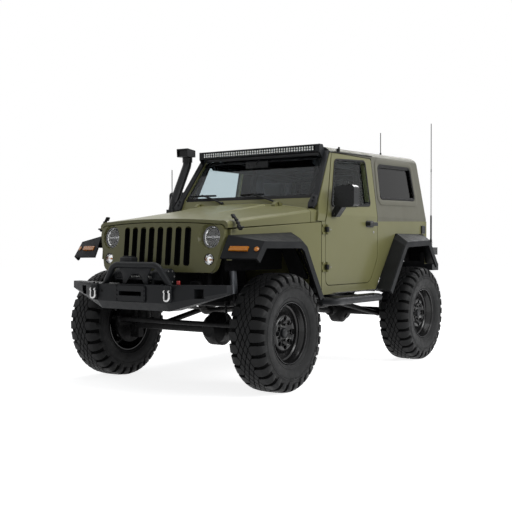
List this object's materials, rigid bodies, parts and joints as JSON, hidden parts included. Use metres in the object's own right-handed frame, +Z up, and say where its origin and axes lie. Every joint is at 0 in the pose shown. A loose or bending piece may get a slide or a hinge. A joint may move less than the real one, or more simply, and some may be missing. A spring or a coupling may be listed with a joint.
{
  "type": "lifted short-wheelbase off-road vehicle",
  "caption": "Lifted two-door off-road vehicle with hard top, mud tyres, steel bumper and winch, snorkel, roof light bar, opening doors, hood and tailgate, and steered front wheels.",
  "frame": {"origin": "on the ground, midway between the axles and on the vehicle's middle plane", "axes": "+X forward, +Y to the vehicle's left, +Z up"},
  "size_m": [4.0048, 2.024, 2.385],
  "materials": {
    "body_paint": "satin",
    "black_plastic": "matt textured",
    "black_metal": "satin powder coat",
    "frame_metal": "matt",
    "rim_metal": "gloss",
    "tyre": "matt",
    "glass": "clear",
    "dark_glass": "tinted",
    "lamp_glass": "clear gloss",
    "amber_lens": "gloss",
    "red_lens": "gloss",
    "cast_metal": "rough",
    "bright_steel": "brushed",
    "zinc": "bright",
    "silver_paint": "gloss",
    "alloy": "satin",
    "seat_fabric": "woven",
    "cabin_plastic": "grained"
  },
  "bodies": {
    "chassis": {"frame_rails": "frame_metal", "body_tub": "body_paint", "front_fenders": "body_paint", "inner_fenders": "black_plastic", "fender_flares": "black_plastic", "grille_panel": "body_paint", "headlamps": "lamp_glass", "marker_lamps": "amber_lens", "tail_lamps": "red_lens", "windscreen_frame": "body_paint", "windscreen_glass": "glass", "hard_top": "body_paint", "hard_top_windows": "dark_glass", "front_bumper": "black_metal", "winch": "black_metal", "tow_shackles": "zinc", "rear_bumper": "black_metal", "side_steps": "black_metal", "snorkel": "black_plastic", "light_bar": "black_metal", "light_bar_lens": "lamp_glass", "antennas": "black_plastic", "hinge_ears": "body_paint", "front_seats": "seat_fabric", "rear_bench": "seat_fabric", "dashboard": "cabin_plastic", "steering_wheel": "cabin_plastic", "roll_cage": "cabin_plastic", "engine_block": "cast_metal", "radiator": "alloy", "driveline": "cast_metal", "fuel_tank": "black_plastic", "exhaust": "bright_steel", "front_axle": "frame_metal", "rear_axle": "frame_metal", "coil_springs": "frame_metal", "shock_absorbers": "silver_paint"},
    "door_left": {"door_left": "body_paint", "door_glass_left": "dark_glass", "door_fittings_left": "black_plastic"},
    "door_right": {"door_right": "body_paint", "door_glass_right": "dark_glass", "door_fittings_right": "black_plastic"},
    "hood": {"hood": "body_paint"},
    "tailgate": {"tailgate": "body_paint", "spare_carrier": "black_metal", "spare_tyre": "tyre", "spare_rim": "rim_metal"},
    "knuckle_left": {"knuckle_left": "cast_metal"},
    "knuckle_right": {"knuckle_right": "cast_metal"},
    "tie_rod": {"tie_rod": "bright_steel"},
    "wheel_front_left": {"tyre_fl": "tyre", "rim_fl": "rim_metal"},
    "wheel_front_right": {"tyre_fr": "tyre", "rim_fr": "rim_metal"},
    "wheel_rear_left": {"tyre_rl": "tyre", "rim_rl": "rim_metal"},
    "wheel_rear_right": {"tyre_rr": "tyre", "rim_rr": "rim_metal"}
  },
  "joints": [
    {"name": "steer_left", "type": "hinge", "parent": "chassis", "child": "knuckle_left", "pos_m": [1.212, 0.64, 0.457], "axis": [0, 0, 1], "range_deg": [-28, 28]},
    {"name": "steer_right", "type": "hinge", "parent": "chassis", "child": "knuckle_right", "pos_m": [1.212, -0.64, 0.457], "axis": [0, 0, 1], "range_deg": [-28, 28]},
    {"name": "tie_rod_pivot", "type": "hinge", "parent": "knuckle_left", "child": "tie_rod", "pos_m": [1.4, 0.64, 0.507], "axis": [0, 0, 1], "range_deg": [-28, 28]},
    {"name": "spin_front_left", "type": "hinge", "parent": "knuckle_left", "child": "wheel_front_left", "pos_m": [1.212, 0.83, 0.457], "axis": [0, 1, 0], "continuous": true},
    {"name": "spin_front_right", "type": "hinge", "parent": "knuckle_right", "child": "wheel_front_right", "pos_m": [1.212, -0.83, 0.457], "axis": [0, 1, 0], "continuous": true},
    {"name": "spin_rear_left", "type": "hinge", "parent": "chassis", "child": "wheel_rear_left", "pos_m": [-1.212, 0.83, 0.457], "axis": [0, 1, 0], "continuous": true},
    {"name": "spin_rear_right", "type": "hinge", "parent": "chassis", "child": "wheel_rear_right", "pos_m": [-1.212, -0.83, 0.457], "axis": [0, 1, 0], "continuous": true},
    {"name": "open_door_left", "type": "hinge", "parent": "chassis", "child": "door_left", "pos_m": [0.411, 0.81, 1.1], "axis": [0, 0, -1], "range_deg": [0, 70]},
    {"name": "open_door_right", "type": "hinge", "parent": "chassis", "child": "door_right", "pos_m": [0.411, -0.81, 1.1], "axis": [0, 0, 1], "range_deg": [0, 70]},
    {"name": "open_hood", "type": "hinge", "parent": "chassis", "child": "hood", "pos_m": [0.6, 0, 1.49], "axis": [0, -1, 0], "range_deg": [0, 50]},
    {"name": "open_tailgate", "type": "hinge", "parent": "chassis", "child": "tailgate", "pos_m": [-1.69, -0.575, 1.163], "axis": [0, 0, 1], "range_deg": [0, 90]}
  ],
  "couplings": [
    {"joint": "steer_right", "follows": "steer_left", "ratio": 1},
    {"joint": "tie_rod_pivot", "follows": "steer_left", "ratio": -1}
  ]
}
